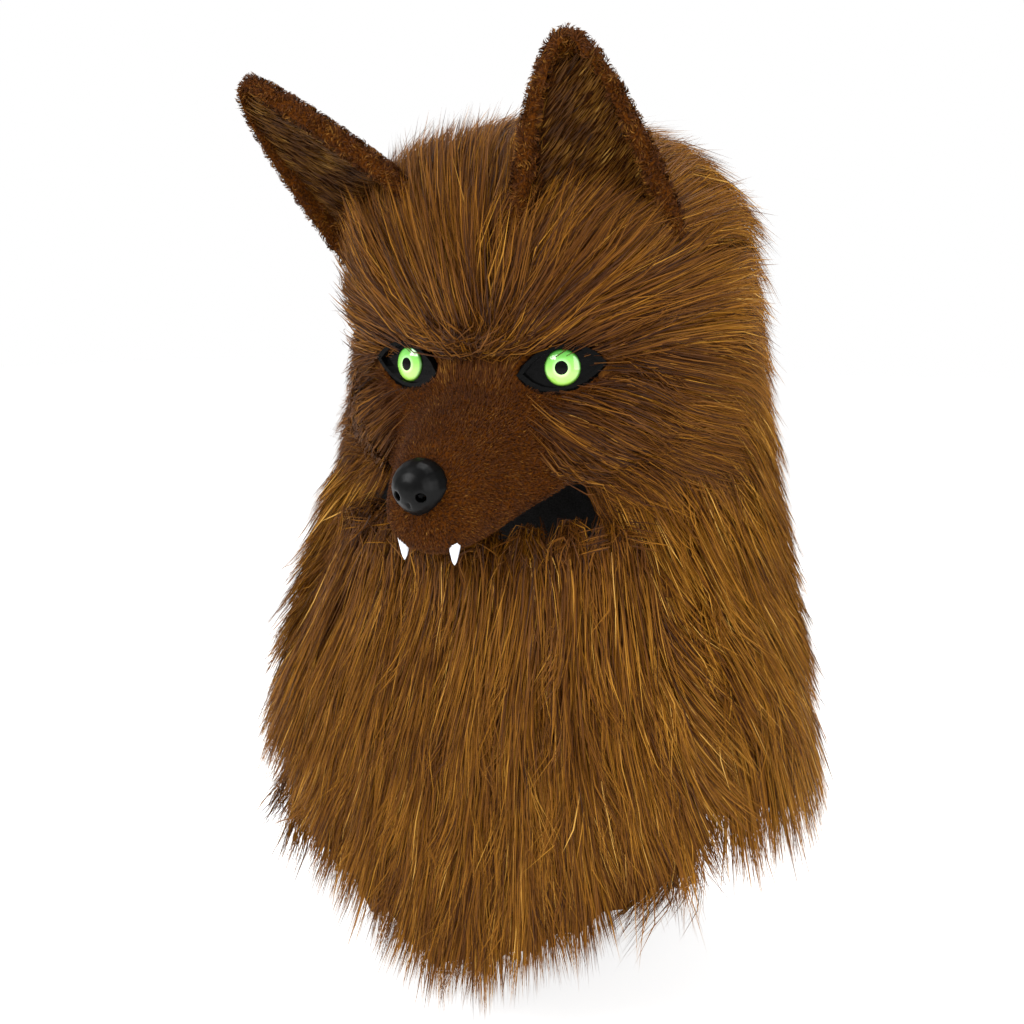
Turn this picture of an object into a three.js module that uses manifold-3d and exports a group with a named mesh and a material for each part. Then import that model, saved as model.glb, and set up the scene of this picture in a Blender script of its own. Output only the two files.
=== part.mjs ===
// A wolf half mask, worn: a fur hood with a hanging mane, a moulded snout and face in short plush,
// cheek fur, a fur bib under the open mouth, two plush ears, plastic eyes, nose and fangs.
// Millimetres. The crown of the head bears at the origin, the wolf looks along -Y and +Z is up.
import * as THREE from 'three';
import { mergeVertices } from 'three/addons/utils/BufferGeometryUtils.js';
import Module from 'manifold-3d';

const wasm = await Module();
wasm.setup();

// Driving dimensions
const GAP = 0.4;
const HOOD = { side: 172, front: 84, back: 154, drop: 380, wall: 3 };
const HOOD_FUR = { crown: 26, cheek: 25, hem: 29, brow: 7, browFade: 50, overhang: 8, jag: 9 };
const FACE = { side: 101, length: 100, top: -80, bottom: -226, root: -42, wall: 4, widest: 0.62 };
const BIB = {
  top: -228, rise: 18, bottom: -486, hemRise: 102, reach: 70, riseAt: 60, curve: 1.35,
  edge: 9, fur: 30, jag: 10,
};
const CHEEK = { from: 38, to: 94, front: 10, back: 23, swell: 8, jag: 0.05 };
const EAR = { height: 113, half: 51, cup: 26, wall: 7, lining: 5, edge: 2 };
const EAR_SHAPE = { straight: 0.5, flatten: 0.75, roll: 0.8 };
const EYE = { length: 54, height: 28, depth: 11, rim: 2.4, dish: 3.5, through: 40, corner: 1.6 };
const EYE_PLACE = { side: 54, out: -73, up: -122, splay: 13 };
const IRIS = { diameter: 21.5, edge: 1.4, dome: 2.6, pupil: 8 };
const NOSE = { width: 36, height: 34, depth: 34, narrow: 0.14, sunk: 6, up: -187 };
const NOSTRIL = { diameter: 6, wide: 1.25, apart: 16, down: 4, inset: 3, turn: 24, groove: 1.4 };
const FANG = { length: 16, radius: 4.6, slim: 0.3, side: 17, behind: 12, up: -216 };
const SNOUT_TIP = FACE.root - FACE.length;
const LOCK = { root: 0.82, body: 0.9, ridge: 0.14, spread: 0.06, least: 0.4, step: 0.004 };
const BROW = -106;
const JAW = -205;
const CHEEK_END = -4;
const MANE_EDGE = -57;
const MOUTH = { out: -60, top: -107, bottom: -213 };
const BEYOND = 800;

// How each ear stands: its foot as shares of the hood's side, front and drop, then its leans outward and
// forward and its turn, in degrees
const EARS = {
  left: { side: 0.36, front: 0.6, drop: 0.095, outward: 9, forward: 35, turn: 30 },
  right: { side: -0.45, front: 0.6, drop: 0.052, outward: -43, forward: 34, turn: -32 },
};

// Sections of the hood from the crown down, as shares of the hood's sizes; the bib follows the last ones.
// The mane hangs wider on the wolf's right, as in the photo.
const HOOD_SECTIONS = [
  { drop: 0.0, left: 0.0, right: 0.0, front: 0.0, back: 0.0 },
  { drop: 0.01, left: 0.25, right: 0.25, front: 0.48, back: 0.27 },
  { drop: 0.035, left: 0.44, right: 0.44, front: 0.78, back: 0.48 },
  { drop: 0.085, left: 0.56, right: 0.56, front: 0.93, back: 0.66 },
  { drop: 0.16, left: 0.64, right: 0.64, front: 0.98, back: 0.79 },
  { drop: 0.26, left: 0.66, right: 0.66, front: 0.93, back: 0.92 },
  { drop: 0.39, left: 0.68, right: 0.68, front: 0.9, back: 0.99 },
  { drop: 0.52, left: 0.72, right: 0.74, front: 0.93, back: 1.0 },
  { drop: 0.67, left: 0.79, right: 0.85, front: 1.03, back: 0.96 },
  { drop: 0.83, left: 0.87, right: 0.99, front: 1.1, back: 0.89 },
  { drop: 1.0, left: 0.93, right: 1.08, front: 1.14, back: 0.83 },
  { drop: 1.5, left: 1.0, right: 1.16, front: 1.12, back: 0.8 },
];

// Sections of the face from the tip of the snout to its edge under the hood, as shares of the face's
// sizes: along from tip to root, half width, and how far down its top and bottom lines lie
const FACE_SECTIONS = [
  { along: 0.0, side: 0.0, top: 0.8, bottom: 0.8 },
  { along: 0.012, side: 0.1, top: 0.73, bottom: 0.88 },
  { along: 0.035, side: 0.19, top: 0.67, bottom: 0.95 },
  { along: 0.09, side: 0.26, top: 0.61, bottom: 0.99 },
  { along: 0.2, side: 0.32, top: 0.54, bottom: 1.0 },
  { along: 0.35, side: 0.385, top: 0.465, bottom: 0.98 },
  { along: 0.51, side: 0.47, top: 0.395, bottom: 0.93 },
  { along: 0.62, side: 0.6, top: 0.33, bottom: 0.88 },
  { along: 0.68, side: 0.74, top: 0.19, bottom: 0.84 },
  { along: 0.76, side: 0.88, top: 0.08, bottom: 0.8 },
  { along: 1.0, side: 1.0, top: 0.0, bottom: 0.76 },
];

const FUR = { color: 0x7a4a1c, roughness: 0.95, metalness: 0 };
const PLUSH = { color: 0x6b3f16, roughness: 0.9, metalness: 0 };
const CLOTH = { color: 0x14110f, roughness: 0.95, metalness: 0 };
const GLOSS_BLACK = { color: 0x0a0a0b, roughness: 0.2, metalness: 0 };
const NOSE_BLACK = { color: 0x101112, roughness: 0.38, metalness: 0 };
const GREEN = { color: 0x74d84a, roughness: 0.15, metalness: 0 };
const WHITE = { color: 0xf0f1f4, roughness: 0.2, metalness: 0 };

const group = new THREE.Group();
const degrees = Math.PI / 180;

// Smooth values between the rows of a section table, by its first column
function section(table, at) {
  const key = Object.keys(table[0])[0];
  let i = table.findIndex((row) => row[key] > at);
  if (i < 0) i = table.length - 1;
  i = Math.max(i, 1);
  const rows = [table[Math.max(i - 2, 0)], table[i - 1], table[i], table[Math.min(i + 1, table.length - 1)]];
  const t = THREE.MathUtils.clamp((at - rows[1][key]) / (rows[2][key] - rows[1][key]), 0, 1);
  const out = {};
  for (const name of Object.keys(table[0])) {
    const slope = (a, b) => (b[name] - a[name]) / Math.max(b[key] - a[key], 1e-6);
    const span = rows[2][key] - rows[1][key];
    const inward = slope(rows[1], rows[2]);
    const start = rows[0] === rows[1] ? inward : (slope(rows[0], rows[1]) + inward) / 2;
    const end = rows[3] === rows[2] ? inward : (slope(rows[2], rows[3]) + inward) / 2;
    const h1 = 2 * t ** 3 - 3 * t ** 2 + 1;
    const h2 = t ** 3 - 2 * t ** 2 + t;
    const h3 = t ** 3 - t ** 2;
    out[name] = h1 * rows[1][name] + h2 * span * start + (1 - h1) * rows[2][name] + h3 * span * end;
  }
  return out;
}

// A repeatable number from 0 to 1 for a lock, from its column and row
function chance(column, row) {
  const value = Math.sin(column * 127.1 + row * 311.7) * 43758.5453;
  return value - Math.floor(value);
}

// A point moved off a surface along the surface's own normal
function offset(surface, u, v, distance) {
  const step = 1e-3;
  const point = surface(u, v);
  const across = surface(u + step, v).sub(surface(u - step, v));
  const along = surface(u, Math.min(v + step, 1.5)).sub(surface(u, Math.max(v - step, 0)));
  const normal = across.cross(along);
  if (normal.length() < 1e-9) return point;
  return point.addScaledVector(normal.normalize(), -distance);
}

// Triangles between two rows of points that may differ in number
function zip(faces, a, b) {
  let i = 0;
  let j = 0;
  while (i < a.length - 1 || j < b.length - 1) {
    const nextA = (i + 1) / (a.length - 1);
    const nextB = (j + 1) / (b.length - 1);
    if (j === b.length - 1 || (i < a.length - 1 && nextA <= nextB)) {
      faces.push([a[i], a[i + 1], b[j]]);
      i += 1;
    } else {
      faces.push([a[i], b[j + 1], b[j]]);
      j += 1;
    }
  }
}

// A closed solid between an outer and an inner grid of points; ring grids close on themselves
function shell(outer, inner, ring) {
  const points = [];
  const faces = [];
  const number = (grid) => grid.map((row) => row.map((point) => points.push(point) - 1));
  const close = (row) => (ring ? [...row, row[0]] : row);
  const out = number(outer).map(close);
  const back = number(inner).map(close);
  const cover = (grid, flip) => {
    const start = faces.length;
    for (let r = 0; r + 1 < grid.length; r += 1) zip(faces, grid[r], grid[r + 1]);
    if (flip) for (let f = start; f < faces.length; f += 1) faces[f].reverse();
  };
  cover(out, false);
  cover(back, true);
  const ends = [[back[0], out[0]], [out.at(-1), back.at(-1)]];
  for (const [a, b] of ends) if (a.length > 1) zip(faces, a, b);
  if (!ring) {
    zip(faces, out.map((row) => row[0]), back.map((row) => row[0]));
    zip(faces, back.map((row) => row.at(-1)), out.map((row) => row.at(-1)));
  }
  return solidFrom(points.map((point) => point.toArray()).flat(), faces.flat());
}

// A manifold solid from positions and corners, turned to face outward
function solidFrom(positions, corners) {
  const raw = new THREE.BufferGeometry();
  raw.setAttribute('position', new THREE.Float32BufferAttribute(positions, 3));
  raw.setIndex(corners);
  const merged = mergeVertices(raw, 1e-4);
  const place = merged.attributes.position.array;
  const index = Array.from(merged.index.array);
  const kept = [];
  let volume = 0;
  for (let i = 0; i < index.length; i += 3) {
    const [a, b, c] = index.slice(i, i + 3);
    if (a === b || b === c || a === c) continue;
    kept.push(a, b, c);
    const [p, q, r] = [a, b, c].map((n) => new THREE.Vector3().fromArray(place, n * 3));
    volume += p.dot(q.cross(r));
  }
  if (volume < 0) kept.reverse();
  return new wasm.Manifold(new wasm.Mesh({
    numProp: 3, vertProperties: new Float32Array(place), triVerts: new Uint32Array(kept),
  }));
}

function solidOf(geometry, matrix) {
  const plain = geometry.clone();
  plain.deleteAttribute('normal');
  plain.deleteAttribute('uv');
  if (matrix) plain.applyMatrix4(matrix);
  const merged = mergeVertices(plain, 1e-4);
  return solidFrom(Array.from(merged.attributes.position.array), Array.from(merged.index.array));
}

// Adds the largest body of a solid to the model as a named mesh
function add(name, solid, look) {
  const bodies = solid.decompose().sort((a, b) => b.volume() - a.volume());
  const mesh = bodies[0].getMesh();
  const geometry = new THREE.BufferGeometry();
  geometry.setAttribute('position', new THREE.BufferAttribute(new Float32Array(mesh.vertProperties), 3));
  geometry.setIndex(new THREE.BufferAttribute(new Uint32Array(mesh.triVerts), 1));
  geometry.computeVertexNormals();
  const node = new THREE.Mesh(geometry, new THREE.MeshStandardMaterial(look));
  node.name = name;
  group.add(node);
}

function box(low, high) {
  const size = high.map((value, i) => value - low[i]);
  const middle = high.map((value, i) => (value + low[i]) / 2);
  return solidOf(new THREE.BoxGeometry(...size), new THREE.Matrix4().makeTranslation(...middle));
}

// Hood: an oval section round the head at each height
const HOOD_COLUMNS = 30;
const HOOD_ROWS = [0, 0.012, 0.04, 0.09, 0.16, 0.26, 0.38, 0.52, 0.68, 0.84, 1];

function hood(u, v) {
  const angle = u * 2 * Math.PI;
  const s = section(HOOD_SECTIONS, v);
  const depth = Math.cos(angle) > 0 ? s.front * HOOD.front : s.back * HOOD.back;
  const half = (Math.sin(angle) > 0 ? s.left : s.right) * HOOD.side;
  return new THREE.Vector3(half * Math.sin(angle), -depth * Math.cos(angle), HOOD.wall - s.drop * HOOD.drop);
}

function hoodShare(height) {
  return (HOOD.wall - height) / HOOD.drop;
}

function ring(surface, columns, v, distance, rise = 1) {
  if (v === 0) {
    const tip = surface(0, 0);
    return [tip.add(new THREE.Vector3(0, rise ? 0 : distance, rise ? distance : 0))];
  }
  return Array.from({ length: columns }, (_, i) => offset(surface, i / columns, v, distance));
}

function hoodBacking() {
  const outer = HOOD_ROWS.map((v) => ring(hood, HOOD_COLUMNS, v, 0));
  const inner = HOOD_ROWS.map((v) => ring(hood, HOOD_COLUMNS, v, -HOOD.wall));
  return shell(outer, inner, true);
}

// The space inside the hood's outer surface and a clearance round it, for cutting what stands on it
function hoodBody(clearance) {
  const rows = HOOD_ROWS.map((v) => ring(hood, HOOD_COLUMNS, v, clearance));
  return shell(rows, [[middleOf(rows.at(-1))], rows.at(-1)], true);
}

// Everything in front of an upright plane between two heights
function inFront(plane, low, high) {
  return box([-BEYOND, -BEYOND, low], [BEYOND, plane, high]);
}

// Fur in overlapping tiers of locks: each tier rises to its tips, which are longer on every other column
function furRows(surface, columns, tiers, depthAt, jag, wrap) {
  const rows = [];
  const count = wrap ? columns : columns + 1;
  const starts = Array(count).fill(tiers[0]);
  for (let tier = 0; tier + 1 < tiers.length; tier += 1) {
    const begin = [];
    const end = [];
    for (let i = 0; i < count; i += 1) {
      const ridge = (i + tier) % 2;
      const lot = chance(i, tier);
      const u = i / columns;
      const finish = tiers[tier + 1] + jag * ridge * (LOCK.least + lot);
      begin.push(offset(surface, u, starts[i], depthAt(u, starts[i]) * LOCK.root));
      const rise = LOCK.body + LOCK.ridge * ridge + LOCK.spread * lot;
      end.push(offset(surface, u, finish, depthAt(u, finish) * rise));
      starts[i] = finish + LOCK.step;
    }
    rows.push(begin, end);
  }
  return rows;
}

const HOOD_TIERS = [0.04, 0.12, 0.23, 0.37, 0.52, 0.68, 0.85, 1.02];
const HOOD_FUR_COLUMNS = 48;

// Fur depth on the hood: short on the crown, shortest at the brow, longest at the hem
function hoodDepth(u, v) {
  const sides = THREE.MathUtils.smoothstep(v, 0.12, 0.35);
  const low = THREE.MathUtils.smoothstep(v, 0.4, 0.9);
  const ahead = THREE.MathUtils.smoothstep(Math.cos(u * 2 * Math.PI), 0.45, 0.85);
  const brow = ahead * THREE.MathUtils.smoothstep(v, hoodShare(BROW + HOOD_FUR.browFade), hoodShare(BROW));
  const depth = HOOD_FUR.crown + (HOOD_FUR.cheek - HOOD_FUR.crown) * sides
    + (HOOD_FUR.hem - HOOD_FUR.cheek) * low;
  return depth + (HOOD_FUR.brow - depth) * brow;
}

function hoodFur() {
  const jag = HOOD_FUR.jag / HOOD.drop;
  const rows = furRows(hood, HOOD_FUR_COLUMNS, HOOD_TIERS, hoodDepth, jag, true);
  const outer = [ring(hood, 1, 0, hoodDepth(0, 0) * 0.9), ...rows];
  const last = 1 + (HOOD_FUR.overhang / HOOD.drop) * 0.5;
  const inner = [...HOOD_ROWS, last].map((v) => ring(hood, HOOD_COLUMNS, v, GAP));
  return shell(outer, inner, true);
}

// Face: a snout that flares into the plate round the eyes, hollow from behind
const FACE_COLUMNS = 28;
const FACE_ROWS = [0, 0.012, 0.035, 0.08, 0.15, 0.25, 0.37, 0.48, 0.58, 0.68, 0.78, 0.88, 1];

function face(u, v) {
  const angle = u * 2 * Math.PI;
  const s = section(FACE_SECTIONS, v);
  const height = FACE.top - FACE.bottom;
  const top = FACE.top - s.top * height;
  const bottom = FACE.top - s.bottom * height;
  const widest = top + (bottom - top) * FACE.widest;
  const reach = Math.cos(angle) > 0 ? top - widest : widest - bottom;
  return new THREE.Vector3(
    s.side * FACE.side * Math.sin(angle),
    FACE.root - FACE.length * (1 - s.along),
    widest + reach * Math.cos(angle));
}

function middleOf(points) {
  return points.reduce((sum, point) => sum.add(point), new THREE.Vector3()).divideScalar(points.length);
}

// The face as a full body, its surface moved out by a clearance, for cutting what meets it
function faceBody(clearance) {
  const rows = FACE_ROWS.map((v) => ring(face, FACE_COLUMNS, v, -clearance, 0));
  const back = rows.at(-1).map((point) => point.clone().setY(FACE.root + FACE.wall));
  return shell([...rows, back], [[middleOf(back)], back], true);
}

function faceShell() {
  const outer = FACE_ROWS.map((v) => ring(face, FACE_COLUMNS, v, 0, 0));
  const hollow = FACE_ROWS.slice(2).map((v) => ring(face, FACE_COLUMNS, v, FACE.wall, 0));
  return shell(outer, [[middleOf(hollow[0])], ...hollow], true);
}

// Bib: the hood's own surface carried on down the chest, from a curved top edge to a pointed hem
const BIB_COLUMNS = 12;
const BIB_ROWS = [0, 0.1, 0.22, 0.4, 0.6, 0.8, 1];
const BIB_TIERS = [0, 0.1, 0.22, 0.36, 0.5, 0.65, 0.8, 0.98];
const BIB_FUR_COLUMNS = 30;

function bib(u, v) {
  const side = (u - 0.5) * 2 * BIB.reach;
  const curve = Math.abs(side / BIB.riseAt) ** BIB.curve;
  const top = hoodShare(BIB.top + BIB.rise * curve);
  const hem = hoodShare(BIB.bottom + BIB.hemRise * curve);
  return hood(side / 360, top + (hem - top) * v);
}

function sheet(surface, columns, rows, distance) {
  const across = Array.from({ length: columns + 1 }, (_, i) => i / columns);
  return rows.map((v) => across.map((u) => offset(surface, u, v, distance)));
}

function bibBacking() {
  return shell(sheet(bib, BIB_COLUMNS, BIB_ROWS, 0), sheet(bib, BIB_COLUMNS, BIB_ROWS, -HOOD.wall), false);
}

function bibFur() {
  const depth = (u, v) => BIB.edge + (BIB.fur - BIB.edge) * THREE.MathUtils.smoothstep(v, -0.05, 0.25);
  const jag = BIB.jag / (BIB.top - BIB.bottom);
  const outer = furRows(bib, BIB_FUR_COLUMNS, BIB_TIERS, depth, jag, false);
  return shell(outer, sheet(bib, BIB_COLUMNS, [...BIB_ROWS, 1.02], GAP), false);
}

// Cheek: fur that starts on the face and runs back over the side of the hood
const CHEEK_TIERS = [0, 0.3, 0.64, 1];
const CHEEK_COLUMNS = 12;

function cheek(sign) {
  const surface = (u, v) => {
    const height = BROW - GAP + (JAW - BROW + 2 * GAP) * u;
    return hood(sign * (CHEEK.from + (CHEEK.to - CHEEK.from) * v) / 360, hoodShare(height));
  };
  const out = -sign;
  const swell = (u, v) => CHEEK.swell * Math.sin(Math.PI * THREE.MathUtils.clamp(u, 0, 1)) * v;
  const depth = (u, v) => out * (CHEEK.front + (CHEEK.back - CHEEK.front) * v ** 0.7 + swell(u, v));
  const outer = furRows(surface, CHEEK_COLUMNS, CHEEK_TIERS, depth, CHEEK.jag, false);
  return shell(outer, sheet(surface, 4, [0, 0.35, 0.7, 1], out * GAP), false);
}

// Ear: a curved plush leaf with a thicker rim, and a fur lining inside it
const EAR_ACROSS = [-1, -0.92, -0.82, -0.72, -0.5, -0.25, 0, 0.25, 0.5, 0.72, 0.82, 0.92, 1];
const EAR_UP = [-0.04, 0.12, 0.28, 0.44, 0.6, 0.74, 0.86, 0.94, 0.985];

function earPoint(across, up, forward) {
  const round = Math.sqrt(Math.max(1 - up * up, 0));
  const taper = EAR_SHAPE.straight * (1 - up) + (1 - EAR_SHAPE.straight) * round;
  const curl = EAR.cup * across * across * (1 - EAR_SHAPE.flatten * up);
  const lean = Math.atan2(2 * curl * across, EAR.half * taper + 1) * EAR_SHAPE.roll;
  return new THREE.Vector3(
    EAR.half * taper * across - forward * Math.sin(lean), -curl - forward * Math.cos(lean), EAR.height * up);
}

function earGrid(acrossList, upList, forward) {
  return upList.map((up) => acrossList.map((across) => earPoint(across, up, forward(Math.abs(across)))));
}

function earLeaf(grow) {
  const rim = (across) => EAR.wall / 2 + grow - EAR.edge * THREE.MathUtils.smoothstep(across, 0.9, 1);
  const back = earGrid(EAR_ACROSS, EAR_UP, (across) => -rim(across));
  const bound = (across) => rim(across) + EAR.lining * THREE.MathUtils.smoothstep(across, 0.74, 0.8);
  return shell(back, earGrid(EAR_ACROSS, EAR_UP, bound), false);
}

function earLining() {
  const across = EAR_ACROSS.slice(3, -3);
  const up = EAR_UP.slice(1, -2);
  const near = EAR.wall / 2 + GAP;
  const fur = (side) => near + EAR.lining * (1 - 0.6 * THREE.MathUtils.smoothstep(side, 0.5, 0.72));
  return shell(earGrid(across, up, () => near), earGrid(across, up, fur), false);
}

function earPlace(ear) {
  return new THREE.Matrix4()
    .makeTranslation(ear.side * HOOD.side, -ear.front * HOOD.front, -ear.drop * HOOD.drop)
    .multiply(new THREE.Matrix4().makeRotationY(ear.outward * degrees))
    .multiply(new THREE.Matrix4().makeRotationX(ear.forward * degrees))
    .multiply(new THREE.Matrix4().makeRotationZ(ear.turn * degrees));
}

// Eye: an almond socket with a lid rim, a domed iris and a pupil in its middle, all facing along local Z
function almond(inset) {
  const half = EYE.length / 2 - inset * EYE.corner;
  const high = EYE.height / 2 - inset;
  const shape = new THREE.Shape();
  shape.moveTo(-half, -high * 0.35);
  shape.bezierCurveTo(-half * 0.55, high * 1.1, half * 0.45, high * 1.5, half, high * 0.25);
  shape.bezierCurveTo(half * 0.5, -high * 0.95, -half * 0.4, -high * 1.55, -half, -high * 0.35);
  return shape;
}

function almondBlock(inset, from, to) {
  const how = { depth: to - from, bevelEnabled: false, curveSegments: 8 };
  return new THREE.ExtrudeGeometry(almond(inset), how).translate(0, 0, from);
}

function eyePlace(sign) {
  const splay = EYE_PLACE.splay * degrees;
  return new THREE.Matrix4().makeScale(sign, 1, 1)
    .multiply(new THREE.Matrix4().makeTranslation(EYE_PLACE.side, EYE_PLACE.out, EYE_PLACE.up))
    .multiply(new THREE.Matrix4().makeRotationZ(splay))
    .multiply(new THREE.Matrix4().makeRotationX(90 * degrees));
}

function eyeSocket(place) {
  const block = solidOf(almondBlock(0, -EYE.depth, 0), place);
  return block.subtract(solidOf(almondBlock(EYE.rim, -EYE.dish, 1), place));
}

function lens(inner, outer, lift) {
  const rise = (radius) => IRIS.edge + IRIS.dome * (1 - (2 * radius / IRIS.diameter) ** 2);
  const steps = 3;
  const profile = [new THREE.Vector2(inner, 0), new THREE.Vector2(outer, 0)];
  for (let i = 0; i <= steps; i += 1) {
    const radius = outer + (inner - outer) * (i / steps);
    profile.push(new THREE.Vector2(radius, rise(radius)));
  }
  if (inner > 0) profile.push(profile[0].clone());
  const geometry = new THREE.LatheGeometry(profile, 16);
  return geometry.rotateX(90 * degrees).translate(0, 0, lift);
}

// Nose: a rounded pad with two nostrils and a groove below them
function nose() {
  const pad = new THREE.SphereGeometry(1, 18, 11);
  const place = pad.getAttribute('position');
  for (let i = 0; i < place.count; i += 1) {
    const z = place.getZ(i);
    const narrow = 1 - NOSE.narrow * THREE.MathUtils.smoothstep(-z, 0, 1);
    const x = place.getX(i) * narrow * NOSE.width / 2;
    place.setXYZ(i, x, place.getY(i) * NOSE.depth / 2, z * NOSE.height / 2);
  }
  const out = SNOUT_TIP + NOSE.sunk;
  const middle = new THREE.Matrix4().makeTranslation(0, out, NOSE.up);
  let solid = solidOf(pad, middle).subtract(faceBody(GAP));
  for (const sign of [-1, 1]) {
    const bore = new THREE.CylinderGeometry(NOSTRIL.diameter / 2, NOSTRIL.diameter / 3, NOSE.depth / 2, 10);
    bore.scale(NOSTRIL.wide, 1, 1);
    const front = out - NOSE.depth / 2;
    const at = new THREE.Matrix4()
      .makeTranslation(sign * NOSTRIL.apart / 2, front + NOSTRIL.inset, NOSE.up - NOSTRIL.down)
      .multiply(new THREE.Matrix4().makeRotationZ(sign * NOSTRIL.turn * degrees));
    solid = solid.subtract(solidOf(bore, at));
  }
  const groove = box(
    [-NOSTRIL.groove / 2, out - NOSE.depth, NOSE.up - NOSE.height],
    [NOSTRIL.groove / 2, out - NOSE.depth * 0.36, NOSE.up - NOSTRIL.down - NOSTRIL.diameter / 2]);
  return solid.subtract(groove);
}

// Fang: a curved tooth that comes out under the lip
function fang(sign) {
  const profile = [new THREE.Vector2(0, 0)];
  for (let i = 0; i <= 6; i += 1) {
    const t = i / 6;
    profile.push(new THREE.Vector2(FANG.radius * Math.sqrt(1 - t) * (1 - FANG.slim * t), -FANG.length * t));
  }
  profile.at(-1).x = 0;
  const tooth = new THREE.LatheGeometry(profile, 14);
  tooth.rotateX(90 * degrees).translate(sign * FANG.side, SNOUT_TIP + FANG.behind, FANG.up);
  return solidOf(tooth).subtract(faceBody(GAP));
}

const onHood = hoodBody(GAP);
const faceCutter = faceBody(GAP);
const mouthCutter = inFront(MOUTH.out, MOUTH.bottom, MOUTH.top);
const chestCutter = inFront(MANE_EDGE, -BEYOND, MOUTH.bottom);
const cheekCutter = inFront(CHEEK_END, JAW, BROW);
const bibKeeper = inFront(MANE_EDGE - 2 * GAP, -BEYOND, 0);
const cheekKeeper = inFront(CHEEK_END - GAP, JAW, BROW);

const underJaw = inFront(MANE_EDGE, -BEYOND, JAW + GAP);
let hoodFurSolid = hoodFur().subtract(cheekCutter).subtract(underJaw).subtract(faceCutter);
let faceSolid = faceShell();

for (const [side, ear] of Object.entries(EARS)) {
  const place = earPlace(ear).elements;
  const leaf = earLeaf(0);
  const lining = earLining();
  const shifts = [[GAP, 0, 0], [-GAP, 0, 0], [0, GAP, 0], [0, -GAP, 0], [0, 0, GAP], [0, 0, -GAP]];
  const round = [earLeaf(GAP), lining, ...shifts.map((shift) => leaf.translate(shift))];
  for (const solid of round) hoodFurSolid = hoodFurSolid.subtract(solid.transform(place));
  add(`ear_${side}`, leaf.transform(place).subtract(onHood), PLUSH);
  add(`ear_lining_${side}`, lining.transform(place).subtract(onHood), FUR);
}

for (const [side, sign] of [['left', 1], ['right', -1]]) {
  const place = eyePlace(sign);
  const bed = -EYE.dish + GAP;
  faceSolid = faceSolid.subtract(solidOf(almondBlock(-GAP, -EYE.through, EYE.through), place));
  add(`eye_socket_${side}`, eyeSocket(place), GLOSS_BLACK);
  add(`iris_${side}`, solidOf(lens(IRIS.pupil / 2 + GAP, IRIS.diameter / 2, bed), place), GREEN);
  add(`pupil_${side}`, solidOf(lens(0, IRIS.pupil / 2, bed), place), GLOSS_BLACK);
  add(`fang_${side}`, fang(sign), WHITE);
  const round = solidOf(almondBlock(-GAP, -EYE.depth * 2, EYE.depth), place);
  const fur = cheek(sign).intersect(cheekKeeper).subtract(faceCutter).subtract(onHood).subtract(round);
  add(`cheek_fur_${side}`, fur, FUR);
}

add('face_shell', faceSolid, PLUSH);
add('nose', nose(), NOSE_BLACK);
add('hood_backing', hoodBacking().subtract(faceCutter).subtract(mouthCutter).subtract(chestCutter), CLOTH);
add('hood_fur', hoodFurSolid, FUR);
add('bib_backing', bibBacking().intersect(bibKeeper), CLOTH);
add('bib_fur', bibFur().intersect(bibKeeper).subtract(faceCutter), FUR);

export default group;
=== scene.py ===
import math

import bmesh
import bpy
import numpy as np
from mathutils import Matrix, Vector
from mathutils.bvhtree import BVHTree
from mathutils.kdtree import KDTree


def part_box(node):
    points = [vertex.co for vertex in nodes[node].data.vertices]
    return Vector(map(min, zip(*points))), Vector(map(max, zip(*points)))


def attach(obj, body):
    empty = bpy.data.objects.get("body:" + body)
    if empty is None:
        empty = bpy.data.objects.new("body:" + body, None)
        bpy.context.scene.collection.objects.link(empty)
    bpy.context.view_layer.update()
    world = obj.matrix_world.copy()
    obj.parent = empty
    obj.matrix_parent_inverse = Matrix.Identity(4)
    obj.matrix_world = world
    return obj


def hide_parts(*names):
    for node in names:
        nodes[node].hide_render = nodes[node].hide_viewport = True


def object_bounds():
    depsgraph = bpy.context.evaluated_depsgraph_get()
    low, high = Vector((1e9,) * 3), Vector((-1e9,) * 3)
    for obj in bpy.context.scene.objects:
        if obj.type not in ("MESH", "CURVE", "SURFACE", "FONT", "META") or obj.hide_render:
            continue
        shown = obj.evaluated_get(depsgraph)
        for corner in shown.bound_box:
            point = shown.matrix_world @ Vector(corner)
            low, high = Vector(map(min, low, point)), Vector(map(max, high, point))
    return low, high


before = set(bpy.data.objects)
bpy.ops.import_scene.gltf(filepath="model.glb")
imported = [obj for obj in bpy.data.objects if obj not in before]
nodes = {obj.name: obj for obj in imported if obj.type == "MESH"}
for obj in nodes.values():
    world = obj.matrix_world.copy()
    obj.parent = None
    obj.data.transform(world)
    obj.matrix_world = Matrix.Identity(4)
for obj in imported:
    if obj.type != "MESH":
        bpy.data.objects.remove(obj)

cad_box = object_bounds()

# The hood and the chest piece are sewn from knitted black cloth, the backing of the faux fur. It shows
# in the open mouth and from below. The two pieces are sewn together along the sides of the chest.
CLOTH_COLOUR = (0.010, 0.009, 0.009)
CLOTH_DARKEST, CLOTH_LIGHTEST = 0.6, 1.9
KNIT_SIZE = 0.0016
KNIT_RELIEF = 0.0006
YARN_SPECKS = 900.0


def shader(name, colour, roughness, specular=0.5, coat=0.0, coat_roughness=0.03):
    made = bpy.data.materials.new(name)
    made.use_nodes = True
    surface = made.node_tree.nodes["Principled BSDF"]
    surface.inputs["Base Color"].default_value = (*colour, 1)
    surface.inputs["Roughness"].default_value = roughness
    surface.inputs["Specular IOR Level"].default_value = specular
    surface.inputs["Coat Weight"].default_value = coat
    surface.inputs["Coat Roughness"].default_value = coat_roughness
    return made, made.node_tree, surface


def node(tree, kind, **settings):
    made = tree.nodes.new(kind)
    for name, value in settings.items():
        if name in made.inputs:
            made.inputs[name].default_value = value
        else:
            setattr(made, name, value)
    return made


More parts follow.
